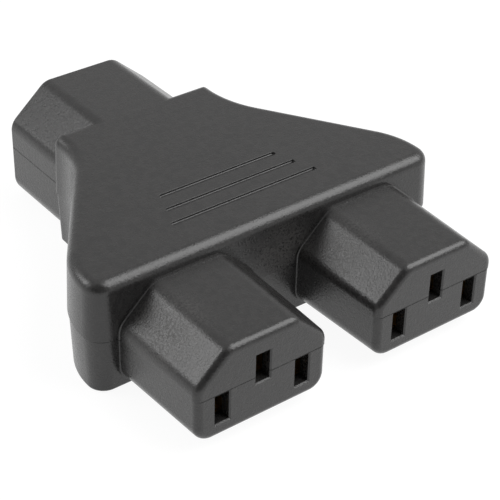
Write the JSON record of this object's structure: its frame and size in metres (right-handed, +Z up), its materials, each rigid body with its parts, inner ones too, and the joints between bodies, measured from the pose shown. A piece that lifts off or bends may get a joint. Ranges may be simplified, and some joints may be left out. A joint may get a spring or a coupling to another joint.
{
  "type": "y splitter power adapter",
  "caption": "Black moulded adapter that splits one recessed three-pin power inlet into two three-slot power outlets.",
  "frame": {"origin": "under the middle of the adapter, on the surface that it rests on", "axes": "+Z up, -Y out of the two outlet faces, +Y out of the inlet, +X to the right seen from the outlets"},
  "size_m": [0.0642, 0.0728, 0.02],
  "materials": {
    "housing": "satin moulded",
    "insulation": "fine matt",
    "brass": "rolled sheet",
    "pin_metal": "nickel plated"
  },
  "bodies": {
    "root": {"lower_shell": "housing", "upper_shell": "housing", "pin_block": "insulation", "bar_separator": "insulation", "neutral_pin": "pin_metal", "live_pin": "pin_metal", "earth_pin": "pin_metal", "neutral_busbar": "brass", "live_busbar": "brass", "earth_busbar": "brass", "left_neutral_contact": "brass", "left_live_contact": "brass", "left_earth_contact": "brass", "right_neutral_contact": "brass", "right_live_contact": "brass", "right_earth_contact": "brass", "left_neutral_rivet": "brass", "left_live_rivet": "brass", "left_earth_rivet": "brass", "right_neutral_rivet": "brass", "right_live_rivet": "brass", "right_earth_rivet": "brass"}
  },
  "joints": []
}
